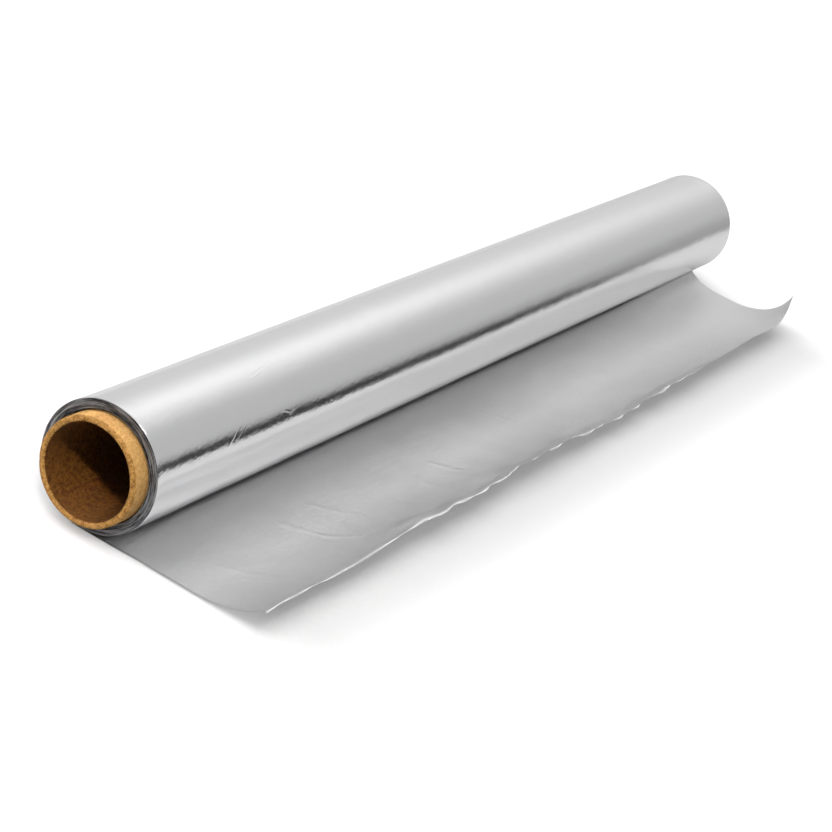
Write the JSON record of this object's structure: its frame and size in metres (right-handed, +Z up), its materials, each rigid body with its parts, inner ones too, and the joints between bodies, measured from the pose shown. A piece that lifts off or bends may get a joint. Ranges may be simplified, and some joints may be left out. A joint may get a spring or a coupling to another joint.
{
  "type": "aluminium foil roll",
  "caption": "Roll of aluminium foil wound on a hollow cardboard core, lying on its side with a short loose leaf run out in front that curls up along its free edge.",
  "frame": {"origin": "on the core's axis, half way along the width of the foil", "axes": "+X along the core's axis towards the leaf's curled corner, +Z up, and the leaf runs out towards -Y on the surface that the roll lies on"},
  "size_m": [0.4579, 0.0879, 0.0427],
  "materials": {
    "foil": "bright outside, satin on the leaf's upper face",
    "core": "matte"
  },
  "bodies": {
    "root": {"core_tube": "core", "foil": "foil"}
  },
  "joints": []
}
